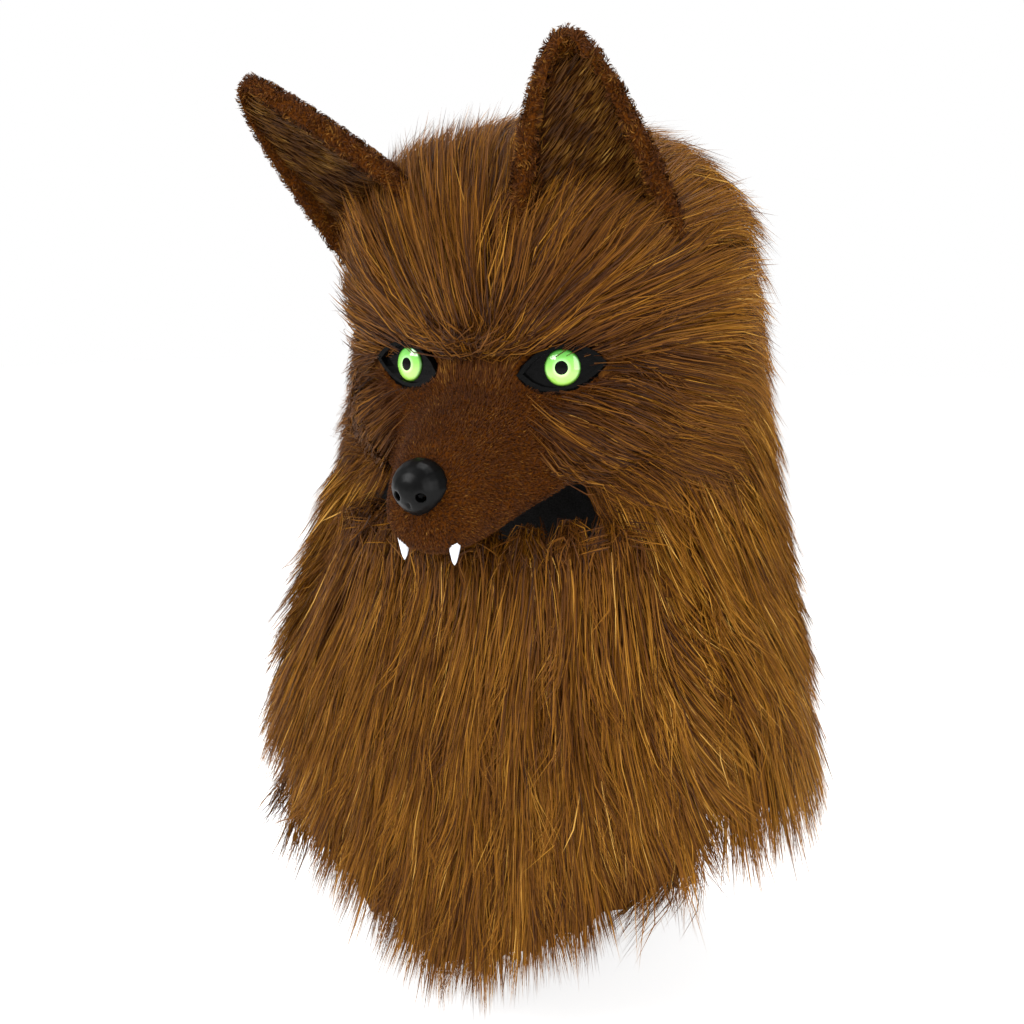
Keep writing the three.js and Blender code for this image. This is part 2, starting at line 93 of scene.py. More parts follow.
def bumpy(tree, surface, height, strength, distance):
    bump = node(tree, "ShaderNodeBump", Strength=strength, Distance=distance)
    tree.links.new(height, bump.inputs["Height"])
    tree.links.new(bump.outputs["Normal"], surface.inputs["Normal"])


def ramp(tree, fac, stops):
    made = node(tree, "ShaderNodeValToRGB")
    while len(made.color_ramp.elements) < len(stops):
        made.color_ramp.elements.new(0.5)
    for element, (at, colour) in zip(made.color_ramp.elements, stops):
        element.position = at
        element.color = (*colour, 1)
    tree.links.new(fac, made.inputs["Fac"])
    return made.outputs["Color"]


def knit_cloth():
    made, tree, surface = shader("knit_cloth", CLOTH_COLOUR, 0.95)
    place = node(tree, "ShaderNodeTexCoord")
    ribs = node(
        tree, "ShaderNodeTexWave", Scale=0.05 / KNIT_SIZE, Distortion=1.5, bands_direction="DIAGONAL")
    tree.links.new(place.outputs["Object"], ribs.inputs["Vector"])
    grain = node(tree, "ShaderNodeTexNoise", Scale=YARN_SPECKS, Detail=2.0)
    tree.links.new(place.outputs["Object"], grain.inputs["Vector"])
    dark = tuple(c * CLOTH_DARKEST for c in CLOTH_COLOUR)
    light = tuple(c * CLOTH_LIGHTEST for c in CLOTH_COLOUR)
    colour = ramp(tree, grain.outputs["Fac"], [(0.35, dark), (0.65, light)])
    tree.links.new(colour, surface.inputs["Base Color"])
    bumpy(tree, surface, ribs.outputs["Fac"], 0.5, KNIT_RELIEF)
    return made


def dress(part, material):
    part.data.materials.clear()
    part.data.materials.append(material)
    return part


cloth = knit_cloth()
for name in ("hood_backing", "bib_backing"):
    dress(nodes[name], cloth)

# The long fur of the hood: acrylic fibre 30 to 70 mm long, knitted into the backing. It runs up and back
# from the bridge of the nose, over the crown, then down the back and sides as a hanging mane. Its shade
# and its place from root to tip are read from the strand's map; towards the root the colour is darkened
# as painted shade deep in the pile.
FUR_SHADES = [
    (0.0, (0.034, 0.009, 0.0004)), (0.3, (0.112, 0.036, 0.002)), (0.62, (0.235, 0.090, 0.005)),
    (0.86, (0.390, 0.180, 0.020)), (1.0, (0.600, 0.330, 0.070))]
FUR_ALONG_PAINTED_SHADE = [
    (0.0, (0.40, 0.34, 0.30)), (0.35, (0.70, 0.66, 0.62)), (0.75, (1.0, 1.0, 1.0)), (1.0, (1.1, 1.12, 1.1))]
UNDERCOAT_SHADES = [(0.35, (0.040, 0.013, 0.002)), (0.65, (0.110, 0.038, 0.005))]
UNDERCOAT_STREAKS = (420, 420, 60)
UNDERCOAT_RELIEF = 0.003
UNDERCOAT_DEPTH = 0.5
SHADE_BANDS = 48
BRIDGE = Vector((0, -0.085, -0.125))
HEAD_MIDDLE = (0, 0.010, -0.100)
OUTER_LEAST = 0.3
OVERRUN = 0.010
NEIGHBOURS = 40
LOCK_STEPS = 4
EYE_MARGIN = 0.006
EYE_REACH = np.array([-0.002, 0.02, -0.0005])
HOOD_SEED = 11
HOOD_LOCKS = 13500
HOOD_LEAST_DEPTH = 0.0045
HOOD_LENGTH = 0.060
BROW_SHORTER = 0.032
HEM_LONGER, FRONT_HEM_LONGER = 0.006, 0.016
HOOD_SINK = 0.35
BROW_LIFT, CROWN_LIFT = 0.06, 0.2
TURNS_DOWN = (0.12, 0.25)
HANGS_FROM = (0.13, 0.24)
HOOD_SWIRL = 0.16
HOOD_TONE = 0.50
FOREHEAD_DARKER = 0.22
CROWN_BELOW = -0.125
BACK_FROM = 125
HOOD_STRANDS = {
    "per_lock": 6, "spread": 0.0085, "gather": 0.15, "stagger": 0.016, "width": 0.0007, "lift": 0.006,
    "shade_spread": 0.20}


def fur_material(name, shades, along, roughness):
    made, tree, surface = shader(name, shades[2][1], roughness, specular=0.12)
    place = node(tree, "ShaderNodeUVMap", uv_map="OFBake")
    split = node(tree, "ShaderNodeSeparateXYZ")
    tree.links.new(place.outputs["UV"], split.inputs["Vector"])
    shade = ramp(tree, split.outputs["Y"], shades)
    # Each strand is darkened towards its root: painted shade deep in the pile.
    painted_root_shade = ramp(tree, split.outputs["X"], along)
    both = node(tree, "ShaderNodeMix", data_type="RGBA", blend_type="MULTIPLY")
    both.inputs["Factor"].default_value = 1.0
    tree.links.new(shade, both.inputs["A"])
    tree.links.new(painted_root_shade, both.inputs["B"])
    tree.links.new(both.outputs["Result"], surface.inputs["Base Color"])
    return made


def undercoat_material(name, shades):
    made, tree, surface = shader(name, shades[0][1], 0.95, specular=0.1)
    place = node(tree, "ShaderNodeTexCoord")
    stretch = node(tree, "ShaderNodeMapping")
    stretch.inputs["Scale"].default_value = UNDERCOAT_STREAKS
    tree.links.new(place.outputs["Object"], stretch.inputs["Vector"])
    streaks = node(tree, "ShaderNodeTexNoise", Scale=1.0, Detail=3.0)
    tree.links.new(stretch.outputs["Vector"], streaks.inputs["Vector"])
    tree.links.new(ramp(tree, streaks.outputs["Fac"], shades), surface.inputs["Base Color"])
    bumpy(tree, surface, streaks.outputs["Fac"], 0.9, UNDERCOAT_RELIEF)
    return made


def corners(part):
    part.data.calc_loop_triangles()
    place = np.empty(len(part.data.vertices) * 3)
    part.data.vertices.foreach_get("co", place)
    index = np.empty(len(part.data.loop_triangles) * 3, dtype=np.int64)
    part.data.loop_triangles.foreach_get("vertices", index)
    return place.reshape(-1, 3), index.reshape(-1, 3)


def smooth_copy(part, name, levels=0, voxel=0.0, rounds=0):
    """A new object with the part's shape, remeshed, smoothed or subdivided."""
    made = bpy.data.objects.new(name, part.data.copy())
    bpy.context.scene.collection.objects.link(made)
    made.matrix_world = part.matrix_world
    made.data.materials.clear()
    if voxel:
        made.modifiers.new("voxels", "REMESH").voxel_size = voxel
    if rounds:
        soften = made.modifiers.new("soften", "SMOOTH")
        soften.factor = 0.5
        soften.iterations = rounds
    if levels:
        made.modifiers.new("round", "SUBSURF").levels = levels
    deps = bpy.context.evaluated_depsgraph_get()
    data = bpy.data.meshes.new_from_object(made.evaluated_get(deps))
    made.modifiers.clear()
    old = made.data
    made.data = data
    bpy.data.meshes.remove(old)
    data.name = name
    data.shade_smooth()
    return made


def outer_side(part):
    """Takes away the inner faces and edges of a wall, so that only its outer side is left."""
    mesh = bmesh.new()
    mesh.from_mesh(part.data)
    for face in list(mesh.faces):
        middle = face.calc_center_median()
        centre = Vector((0, HEAD_MIDDLE[1], min(middle.z, HEAD_MIDDLE[2])))
        if face.normal.dot((middle - centre).normalized()) < OUTER_LEAST:
            mesh.faces.remove(face)
    mesh.to_mesh(part.data)
    mesh.free()


def tree_of(parts):
    """One search tree over the rounded outer sides of several parts."""
    points, faces = [], []
    for part in parts:
        side = smooth_copy(part, "side")
        outer_side(side)
        rounded = smooth_copy(side, "rounded", levels=1)
        bpy.data.objects.remove(side)
        place, index = corners(rounded)
        faces.append(index + sum(len(p) for p in points))
        points.append(place)
        data = rounded.data
        bpy.data.objects.remove(rounded)
        bpy.data.meshes.remove(data)
    return BVHTree.FromPolygons(np.concatenate(points).tolist(), np.concatenate(faces).tolist())


def nearest(tree, points):
    found = [tree.find_nearest(p)[:2] for p in points.tolist()]
    return np.array([f[0] for f in found]), np.array([f[1] for f in found])


def unit(vectors):
    return vectors / np.maximum(np.linalg.norm(vectors, axis=-1, keepdims=True), 1e-9)


def blend_step(values, low, high):
    t = np.clip((values - low) / (high - low), 0, 1)
    return t * t * (3 - 2 * t)


def drift(points, size, seed):
    """Slow waves of about a size over space, mostly between -1 and 1."""
    lots = np.random.default_rng(seed)
    total = np.zeros(len(points))
    for _ in range(5):
        wave = unit(lots.normal(size=3)) * (2 * math.pi / size) * lots.uniform(0.6, 1.5)
        total += np.sin(points @ wave + lots.uniform(0, 6.28))
    return total / 2.5


def spots(part, count, lots, keep):
    """Random points, even by area, on the faces of a part that pass a test, and those faces' normals."""
    place, index = corners(part)
    a, b, c = (place[index[:, i]] for i in range(3))
    facing = np.cross(b - a, c - a)
    area = np.linalg.norm(facing, axis=1) / 2
    facing = unit(facing)
    area = area * keep((a + b + c) / 3, facing)
    pick = lots.choice(len(index), size=count, p=area / area.sum())
    u, v = lots.random(count), lots.random(count)
    over = u + v > 1
    u[over], v[over] = 1 - u[over], 1 - v[over]
    points = a[pick] + (b - a)[pick] * u[:, None] + (c - a)[pick] * v[:, None]
    return points, facing[pick]


def evened(points, values):
    """Each value's average over the points nearest to it."""
    near = KDTree(len(points))
    for i, point in enumerate(points.tolist()):
        near.insert(point, i)
    near.balance()
    groups = [[i for _, i, _ in near.find_n(p, NEIGHBOURS)] for p in points.tolist()]
    return np.array([values[group].mean() for group in groups])


def combed(tree, tips, heading, length, sink, rise, sideways=0.0):
    """Centre lines of locks from root to tip. Each is followed back from its tip over the cloth; past the
    cloth's hem, and past its sides where sideways says so, the lock hangs on."""
    surface, normal = nearest(tree, tips)
    flow = heading(surface, normal)
    flow = unit(flow - normal * (flow * normal).sum(1, keepdims=True))
    reach = tips - surface
    past = reach - normal * (reach * normal).sum(1, keepdims=True)
    down = (past * flow).sum(1, keepdims=True)
    hang = flow * np.maximum(down, 0) + (past - flow * down) * np.reshape(sideways, (-1, 1))
    depth = np.sqrt(np.maximum((reach ** 2).sum(1) - (hang ** 2).sum(1), 0))
    depth = evened(tips, depth)
    lines, ups = [], []
    for k in range(LOCK_STEPS - 1, -1, -1):
        share = k / (LOCK_STEPS - 1)
        height = sink + (rise - sink) * share ** 0.8
        lines.append(surface + normal * (depth * height)[:, None] + hang * share ** 1.5)
        ups.append(normal)
        flow = heading(surface, normal)
        flow = unit(flow - normal * (flow * normal).sum(1, keepdims=True))
        if k:
            surface, normal = nearest(tree, surface - flow * (length / (LOCK_STEPS - 1))[:, None])
    lines = np.stack(lines[::-1], 1)
    beyond = unit(lines[:, -1] - lines[:, -2]) * (np.linspace(0.15, 1, len(tips)) * OVERRUN)[:, None]
    lines[:, -1] += beyond
    lines[:, -2] += beyond * 0.4
    return lines, np.stack(ups[::-1], 1)


def ribbons(name, lines, ups, lots, shade, per_lock, spread, gather, stagger, width, lift, shade_spread):
    """A mesh of flat tapered strands: several follow each centre line, further apart at the root than at
    the tip. The map holds the place along the strand and a band for its shade."""
    locks, steps, _ = lines.shape
    own = np.repeat(np.arange(locks), per_lock)
    count = len(own)
    share = np.linspace(0, 1, steps)
    along = unit(np.gradient(lines, axis=1))
    side = unit(np.cross(along, ups))
    centre, along, side, up = lines[own], along[own], side[own], unit(ups)[own]
    angle, radius = lots.uniform(0, 2 * math.pi, count), np.sqrt(lots.random(count))
    apart = (1 - gather * share ** 1.3)[None, :, None]
    off = side * (np.cos(angle) * radius * spread)[:, None, None] * apart
    off = off + along * ((lots.random(count) - 0.5) * 2 * stagger)[:, None, None]
    sway = np.sin(share * lots.uniform(1.5, 4, count)[:, None] + lots.uniform(0, 6, count)[:, None])
    off = off + side * (sway * share * spread * 0.10)[:, :, None]
    off = off + up * ((lots.random(count) - 0.55) * lift)[:, None, None] * share[None, :, None]
    centre = centre + off
    twist = lots.normal(0, 0.5, count)[:, None, None]
    along = unit(np.gradient(centre, axis=1))
    across = unit(np.cross(along, up) * np.cos(twist) + up * np.sin(twist))
    half = (width * lots.uniform(0.7, 1.3, count) / 2)[:, None, None]
    taper = (0.55 + 0.45 * np.sin(np.minimum(share * 1.6 + 0.35, 1.57)) - 0.6 * share ** 3)[None, :, None]
    left = (centre - across * half * taper)[:, :-1]
    right = (centre + across * half * taper)[:, :-1]
    points = np.concatenate([left, right, centre[:, -1:]], axis=1)
    per = 2 * steps - 1
    face = []
    for k in range(steps - 2):
        face += [k, steps - 1 + k, steps + k, k + 1]
    face += [steps - 2, 2 * steps - 3, 2 * steps - 2]
    face = np.array(face)
    index = (face[None, :] + (np.arange(count) * per)[:, None]).ravel()
    first = np.arange(steps - 1) * 4
    starts = (first[None, :] + (np.arange(count) * len(face))[:, None]).ravel()
    tone = np.clip(shade[own] + lots.normal(0, shade_spread, count), 0, 0.999)
    band = np.floor(tone * SHADE_BANDS)
    low, high = (band + 0.1) / SHADE_BANDS, (band + 0.9) / SHADE_BANDS
    u = np.concatenate([share[:-1], share[:-1], [1.0]])
    v = np.concatenate([np.zeros(steps - 1), np.ones(steps - 1), [0.5]])
    maps = np.empty((count, len(face), 2))
    maps[:, :, 0] = u[face][None, :]
    maps[:, :, 1] = low[:, None] + (high - low)[:, None] * v[face][None, :]
    data = bpy.data.meshes.new(name)
    data.vertices.add(count * per)
    data.vertices.foreach_set("co", points.astype(np.float32).ravel())
    data.loops.add(len(index))
    data.loops.foreach_set("vertex_index", index.astype(np.int32))
    data.polygons.add(len(starts))
    data.polygons.foreach_set("loop_start", starts.astype(np.int32))
    data.uv_layers.new(name="OFBake").data.foreach_set("uv", maps.astype(np.float32).ravel())
    data.update(calc_edges=True)
    data.shade_smooth()
    made = bpy.data.objects.new(name, data)
    bpy.context.scene.collection.objects.link(made)
    return made


def place_piece(made, material, slot, *stands_for):
    dress(made, material)
    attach(made, "root")
    if stands_for:
        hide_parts(*stands_for)
    return made


def undercoat(part, tree):
    """The dense short fibre under the long fur: the part's form at a share of its depth."""
    made = smooth_copy(nodes[part], part.replace("fur", "undercoat"))
    place, _ = corners(made)
    surface, _ = nearest(tree, place)
    place = surface + (place - surface) * UNDERCOAT_DEPTH
    made.data.vertices.foreach_set("co", place.astype(np.float32).ravel())
    made.data.update()
    return place_piece(made, undercoat_hair, "long_fur", part)


def clear_of_eyes(lines, margin=0.0):
    """Which locks keep a margin from the eyes."""
    free = np.ones(len(lines), dtype=bool)
    for part in ("eye_socket_left", "eye_socket_right"):
        low, high = (np.array(c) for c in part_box(part))
        middle, half = (low + high) / 2, (high - low) / 2
        apart = (lines - middle) / (half + (np.array([margin, 0, margin]) + EYE_REACH))
        free &= ~((apart[..., 0] ** 2 + apart[..., 2] ** 2 < 1) & (abs(apart[..., 1]) < 1)).any(1)
    return free


def hood_heading(points, normal):
    """Away from the bridge of the nose over the forehead and crown, and down on the mane."""
    away = points - np.array(BRIDGE)
    far = blend_step(np.linalg.norm(away, axis=1), *TURNS_DOWN)[:, None]
    low = blend_step(-points[:, 2], *HANGS_FROM)[:, None]
    down = np.array([0, 0.0, -1.0])
    flow = unit(away) * (1 - far) + down * far
    flow = flow * (1 - low) + (down + 0.1 * unit(away)) * low
    turn = HOOD_SWIRL * drift(points, 0.14, 5)[:, None]
    return unit(flow) + np.cross(normal, unit(flow)) * turn


hood_tree = tree_of([nodes["hood_backing"]])
undercoat_hair = undercoat_material("undercoat_hair", UNDERCOAT_SHADES)
long_hair = fur_material("long_hair", FUR_SHADES, FUR_ALONG_PAINTED_SHADE, 0.5)
lots = np.random.default_rng(HOOD_SEED)


def off_cloth(tree, least):
    """A test for faces on the fur's outer side, at least some way from the cloth."""
    def keep(centres, facing):
        surface, _ = nearest(tree, centres)
        away = centres - surface
        return (np.linalg.norm(away, axis=1) > least) & ((unit(away) * facing).sum(1) > -0.2)
    return keep


undercoat("hood_fur", hood_tree)
tips, _ = spots(nodes["hood_fur"], HOOD_LOCKS, lots, off_cloth(hood_tree, HOOD_LEAST_DEPTH))
brow = blend_step(-tips[:, 2], 0.06, 0.105) * blend_step(-tips[:, 1], 0.03, 0.06)
length = (HOOD_LENGTH - BROW_SHORTER * brow) * lots.uniform(0.8, 1.2, len(tips))
crown = blend_step(tips[:, 2], -0.08, -0.02)
rise = lots.uniform(0.90, 1.22, len(tips)) + BROW_LIFT * brow + CROWN_LIFT * crown
lower = blend_step(-tips[:, 2], 0.18, 0.26)
lines, ups = combed(hood_tree, tips, hood_heading, length, HOOD_SINK, rise, lower)
front = blend_step(-tips[:, 1], -0.06, 0.0)
longer = blend_step(-tips[:, 2], 0.31, 0.37) * (HEM_LONGER + FRONT_HEM_LONGER * front)
lines[:, -2, 2] -= longer * 0.5
lines[:, -1, 2] -= longer
free = clear_of_eyes(lines, EYE_MARGIN)
lines, ups = lines[free], ups[free]
tone = HOOD_TONE + 0.07 * drift(lines[:, -1], 0.05, 8) + lots.normal(0, 0.07, len(lines))
above = blend_step(lines[:, -1, 2], -0.16, -0.09)
tone = tone - FOREHEAD_DARKER * above * blend_step(-lines[:, -1, 1], -0.02, 0.05)
around = np.degrees(np.arctan2(lines[:, -1, 0], -lines[:, -1, 1]))
high = lines[:, -1, 2] > CROWN_BELOW
groups = {
    "crown_fur": high, "mane_back": ~high & (abs(around) > BACK_FROM),
    "mane_left": ~high & (around > 0) & (around <= BACK_FROM),
    "mane_right": ~high & (around <= 0) & (around >= -BACK_FROM)}
for name, chosen in groups.items():
    made = ribbons(name, lines[chosen], ups[chosen], lots, tone[chosen], **HOOD_STRANDS)
    place_piece(made, long_hair, "long_fur", "hood_fur")

# The cheek fur: darker pieces of the same long fur, glued on behind the eyes and combed back over the
# hood's sides, so that they hide the edge of the moulded face.
CHEEK_LOCKS = 1250
CHEEK_LENGTH = 0.042
CHEEK_SINK = 0.3
CHEEK_COMB = (0, 0.35, -0.25)
CHEEK_SWIRL = 0.15
CHEEK_TONE = 0.27
PATCH_LEAST_DEPTH = 0.004
CHEEK_STRANDS = {
    "per_lock": 6, "spread": 0.0070, "gather": 0.15, "stagger": 0.012, "width": 0.0006, "lift": 0.005,
    "shade_spread": 0.20}


def cheek_heading(points, normal):
    away = unit(points - np.array(BRIDGE))
    turn = CHEEK_SWIRL * drift(points, 0.10, 15)[:, None]
    flow = away + np.array(CHEEK_COMB)
    return unit(flow) + np.cross(normal, unit(flow)) * turn


cheek_tree = tree_of([nodes["hood_backing"], nodes["face_shell"]])
for side in ("left", "right"):
    part = f"cheek_fur_{side}"
    undercoat(part, cheek_tree)
    tips, _ = spots(nodes[part], CHEEK_LOCKS, lots, off_cloth(cheek_tree, PATCH_LEAST_DEPTH))
    length = CHEEK_LENGTH * lots.uniform(0.8, 1.2, len(tips))
    rise = lots.uniform(0.80, 1.15, len(tips))
    lines, ups = combed(cheek_tree, tips, cheek_heading, length, CHEEK_SINK, rise)
    free = clear_of_eyes(lines, EYE_MARGIN)
    lines, ups = lines[free], ups[free]
    tone = CHEEK_TONE + 0.07 * drift(lines[:, -1], 0.04, 18) + lots.normal(0, 0.07, len(lines))
    made = ribbons(f"cheek_{side}", lines, ups, lots, tone, **CHEEK_STRANDS)
    place_piece(made, long_hair, "long_fur", part)

# The chest piece below the mouth: the same fur on a cloth of its own, short along its top edge, fanning
# out a little to the sides and hanging to a point. It is sewn to the hood's backing along both sides.
BIB_LOCKS = 6500
BIB_TOP_LENGTH, BIB_LONGER = 0.024, 0.034
BIB_SINK = 0.35
BIB_HALF_WIDTH = 0.13
BIB_FAN = 0.35
BIB_SWIRL = 0.10
BIB_TONE = 0.40
# Painted shade under the jaw: the fur along the top edge of the chest piece is made darker.
BIB_TOP_PAINTED_SHADE = 0.14
ABOVE_EDGE = 0.003
BIB_STRANDS = {
    "per_lock": 6, "spread": 0.0085, "gather": 0.15, "stagger": 0.018, "width": 0.0007, "lift": 0.006,
    "shade_spread": 0.20}


def bib_heading(points, normal):
    fan = points[:, 0] / BIB_HALF_WIDTH
    flow = np.stack([BIB_FAN * fan, -0.05 + 0 * fan, -1 + 0 * fan], 1)
    turn = BIB_SWIRL * drift(points, 0.14, 25)[:, None]
    return unit(flow) + np.cross(normal, unit(flow)) * turn


bib_tree = tree_of([nodes["bib_backing"]])
undercoat("bib_fur", bib_tree)
tips, _ = spots(nodes["bib_fur"], BIB_LOCKS, lots, off_cloth(bib_tree, PATCH_LEAST_DEPTH))
tips = tips[(tips - nearest(bib_tree, tips)[0])[:, 2] < ABOVE_EDGE]
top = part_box("bib_fur")[1][2]
below = blend_step(top - tips[:, 2], 0.01, 0.07)
length = (BIB_TOP_LENGTH + BIB_LONGER * below) * lots.uniform(0.8, 1.2, len(tips))
rise = lots.uniform(0.90, 1.20, len(tips))
lines, ups = combed(bib_tree, tips, bib_heading, length, BIB_SINK, rise, 1.0)
tone = BIB_TONE + 0.07 * drift(lines[:, -1], 0.05, 28) + lots.normal(0, 0.07, len(lines))
# Painted shade under the jaw: the strands near the top edge are darkened.
tone = tone - BIB_TOP_PAINTED_SHADE * (1 - below)
made = ribbons("bib_fur_long", lines, ups, lots, tone, **BIB_STRANDS)
bib_piece = place_piece(made, long_hair, "long_fur", "bib_fur")

# The face: a moulded snout and eye plate covered in short brown plush, glued over the hood's front. The
# plush is modelled as single tufts on a smooth skin, longer where the long fur takes over.
PLUSH_SHADES = [
    (0.0, (0.020, 0.005, 0.0003)), (0.3, (0.050, 0.013, 0.0006)), (0.62, (0.088, 0.024, 0.001)),
    (0.86, (0.160, 0.058, 0.004)), (1.0, (0.280, 0.120, 0.016))]
# Each plush tuft is darkened towards its root: painted shade deep in the nap.
PLUSH_ALONG_PAINTED_SHADE = [(0.0, (0.35, 0.32, 0.30)), (1.0, (1.05, 1.05, 1.05))]
NAP_GRAIN = 700.0
NAP_RELIEF = 0.0015
TUFT_ROOT = 0.0004
LONGEST_LEAN = 0.86
FACE_PLUSH = {"count": 40000, "length": 0.0032, "lean": 0.62, "width": 0.00055, "shade_spread": 0.16}
FACE_GROWTH = 3.4
FACE_VOXEL = 0.0025


def plush_material(name, shades):
    made, tree, surface = shader(name, shades[1][1], 0.9, specular=0.06)
    place = node(tree, "ShaderNodeTexCoord")
    nap = node(tree, "ShaderNodeTexNoise", Scale=NAP_GRAIN, Detail=3.0)
    tree.links.new(place.outputs["Object"], nap.inputs["Vector"])
    tree.links.new(ramp(tree, nap.outputs["Fac"], [(0.35, shades[0][1]), (0.65, shades[2][1])]),
                   surface.inputs["Base Color"])
    bumpy(tree, surface, nap.outputs["Fac"], 0.8, NAP_RELIEF)
    return made


def outward(centres, facing):
    """A test for faces on the outer side of the snout and eye plate."""
    axis = np.stack([0 * centres[:, 0], centres[:, 1] + 0.03, 0 * centres[:, 0] - 0.165], 1)
    return (unit(centres - axis) * facing).sum(1) > 0.05


def tufts(name, part, lots, keep, heading, tone_at, count, length, lean, width, shade_spread, grow=None):
    """Short single strands that stand on a part's own surface and lean over."""
    roots, normal = spots(part, count, lots, keep)
    flow = heading(roots, normal)
    flow = unit(flow - normal * (flow * normal).sum(1, keepdims=True))
    reach = length * lots.uniform(0.75, 1.25, (count, 1))
    if grow:
        longer = grow(roots)[:, None]
        reach = reach * longer
        lean = lean + (LONGEST_LEAN - lean) * np.clip(longer - 1, 0, 1)
    middle = roots + (normal * (1 - lean) * 0.75 + flow * lean * 0.4) * reach
    tip = roots + (normal * (1 - lean) + flow * lean) * reach
    lines = np.stack([roots - normal * TUFT_ROOT, middle, tip], 1)
    ups = np.stack([unit(normal + 0.3 * lots.normal(size=normal.shape))] * 3, 1)
    free = clear_of_eyes(lines)
    lines, ups, roots = lines[free], ups[free], roots[free]
    return ribbons(
        name, lines, ups, lots, tone_at(roots), per_lock=1, spread=length * 0.3, gather=0.2, stagger=0,
        width=width, lift=length * 0.1, shade_spread=shade_spread)


def face_heading(points, normal):
    flow = np.stack([0.5 * points[:, 0], 0 * points[:, 0] + 0.05, 0.3 * (points[:, 2] + 0.17)], 1)
    turn = 0.35 * drift(points, 0.03, 35)[:, None]
    return unit(flow) + np.cross(normal, unit(flow)) * turn


def face_growth(points):
    """The plush grows longer towards the brow and behind the eyes, where the long fur takes over."""
    brow = blend_step(points[:, 2], -0.142, -0.108)
    behind = blend_step(abs(points[:, 0]), 0.066, 0.090)
    return 1 + FACE_GROWTH * np.maximum(brow, behind)


def face_tone(points):
    return 0.5 + 0.10 * drift(points, 0.02, 38) + 0.2 * (face_growth(points) - 1) / FACE_GROWTH


plush_skin = plush_material("plush_skin", PLUSH_SHADES)
short_plush = fur_material("short_plush", PLUSH_SHADES, PLUSH_ALONG_PAINTED_SHADE, 0.7)
face_skin = smooth_copy(nodes["face_shell"], "face_skin", voxel=FACE_VOXEL, rounds=6)
place_piece(face_skin, plush_skin, "short_plush", "face_shell")
made = tufts(
    "face_plush", face_skin, lots, outward, face_heading, face_tone, **FACE_PLUSH, grow=face_growth)
place_piece(made, short_plush, "short_plush", "face_shell")

# The ears: curved leaves of foam in curly plush with a thick bound rim, lined with combed fur. Their
# feet are sewn into the crown.
EAR_PLUSH = {"count": 14000, "length": 0.0046, "lean": 0.55, "width": 0.0007, "shade_spread": 0.16}
EAR_FUR = {"count": 2600, "length": 0.013, "lean": 0.85, "width": 0.0008, "shade_spread": 0.14}
EAR_VOXEL = 0.0022
EAR_FUR_SHADES = [(at, tuple(c * 0.42 for c in colour)) for at, colour in FUR_SHADES]
EAR_SKIN_SHADES = [(at, tuple(c * 0.40 for c in colour)) for at, colour in PLUSH_SHADES]


def anywhere(centres, facing):
    return np.ones(len(centres))


def curly(points, normal):
    """A lean that turns every few millimetres."""
    return np.stack([drift(points, 0.012, 41), drift(points, 0.012, 42), drift(points, 0.012, 43)], 1)


def rim_tone(points):
    return 0.62 + 0.14 * drift(points, 0.02, 48)


def lining_tone(points):
    return 0.5 + 0.16 * drift(points, 0.02, 49)


ear_hair = fur_material("ear_hair", EAR_FUR_SHADES, FUR_ALONG_PAINTED_SHADE, 0.5)
ear_skin = plush_material("ear_skin", EAR_SKIN_SHADES)
for side, sign in (("left", 1), ("right", -1)):
    skin = smooth_copy(nodes[f"ear_{side}"], f"ear_skin_{side}", voxel=EAR_VOXEL, rounds=8)
    place_piece(skin, plush_skin, "short_plush", f"ear_{side}")
    made = tufts(f"ear_plush_{side}", skin, lots, anywhere, curly, rim_tone, **EAR_PLUSH)
    place_piece(made, short_plush, "short_plush", f"ear_{side}")
    lining = smooth_copy(
        nodes[f"ear_lining_{side}"], f"ear_lining_skin_{side}", voxel=EAR_VOXEL, rounds=6)
    place_piece(lining, ear_skin, "ear_fur", f"ear_lining_{side}")

    def swept(points, normal, sign=sign):
        return np.stack([sign * 0.6 + 0 * points[:, 0], 0 * points[:, 0], 0.8 + 0 * points[:, 0]], 1)

    made = tufts(f"ear_fur_{side}", lining, lots, anywhere, swept, lining_tone, **EAR_FUR)
    place_piece(made, ear_hair, "ear_fur", f"ear_lining_{side}")

# The eyes: black glossy almond sockets set into the eye plate, each with a printed green disc under a clear
# dome and a black pupil ringed in pale green. The green darkens towards the top of the disc: painted
# shadow.
EYE_SPLAY = math.radians(13)
IRIS_RADIUS = 0.01075
PUPIL_RADIUS = 0.0040
DISC = 0.0014
DOME = 0.0026
DOME_RINGS, DOME_TURNS = 8, 64
SOCKET_EDGE = 0.0008


def glossy_black(name, roughness, grain):
    made, tree, surface = shader(name, (0.002, 0.002, 0.002), roughness, specular=0.12)
    place = node(tree, "ShaderNodeTexCoord")
    pits = node(tree, "ShaderNodeTexNoise", Scale=grain, Detail=2.0)
    tree.links.new(place.outputs["Object"], pits.inputs["Vector"])
    bumpy(tree, surface, pits.outputs["Fac"], 0.15, 0.0004)
    return made


def dome(name, inner, outer):
    """A domed disc or ring that faces along its own Z, closed underneath."""
    points, faces = [], []
    angles = [2 * math.pi * j / DOME_TURNS for j in range(DOME_TURNS)]
    for i in range(DOME_RINGS + 1):
        radius = inner + (outer - inner) * i / DOME_RINGS
        height = DISC + DOME * (1 - (radius / IRIS_RADIUS) ** 2)
        points += [(radius * math.cos(a), radius * math.sin(a), height) for a in angles]
    for radius in (outer, inner):
        points += [(radius * math.cos(a), radius * math.sin(a), 0) for a in angles]
    for i in range(DOME_RINGS + 2):
        near, far = i * DOME_TURNS, (i + 1) * DOME_TURNS
        for j in range(DOME_TURNS):
            k = (j + 1) % DOME_TURNS
            faces.append((near + j, far + j, far + k, near + k))
    data = bpy.data.meshes.new(name)
    data.from_pydata(points, [], faces)
    data.validate()
    data.shade_smooth()
    made = bpy.data.objects.new(name, data)
    bpy.context.scene.collection.objects.link(made)
    return made


